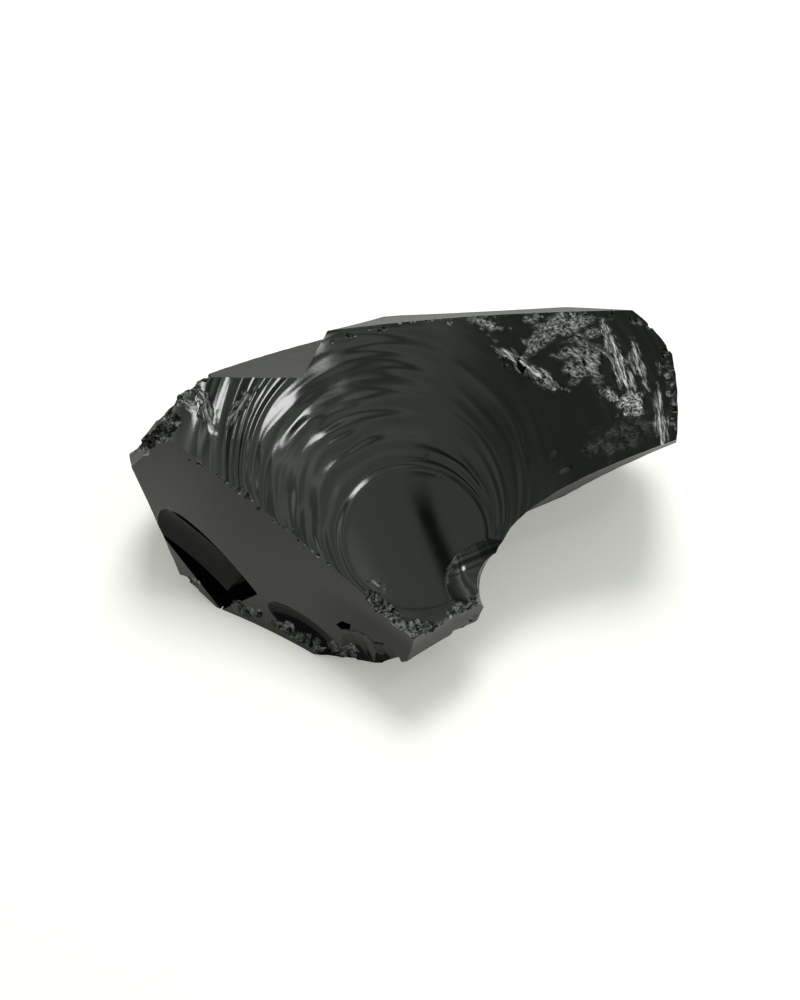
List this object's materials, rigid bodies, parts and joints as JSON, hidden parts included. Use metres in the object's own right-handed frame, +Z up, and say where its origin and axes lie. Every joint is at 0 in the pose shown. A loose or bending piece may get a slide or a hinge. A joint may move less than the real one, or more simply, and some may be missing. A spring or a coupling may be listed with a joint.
{
  "type": "obsidian chunk",
  "caption": "Rough hand-sized chunk of black volcanic glass with a dished, rippled top scar, sharp chipped edges, a hooked end over a curved notch and a flat base to rest on.",
  "frame": {"origin": "centre of the bounding box's bottom face, in the plane of the base", "axes": "+X along the longest extent towards the hooked end, +Y towards the tall back, -Y towards the steep front face and the struck corner, +Z up"},
  "size_m": [0.0896, 0.062, 0.0343],
  "materials": {
    "obsidian": "opaque, glossy fresh fracture"
  },
  "bodies": {
    "root": {"obsidian_chunk": "obsidian"}
  },
  "joints": []
}
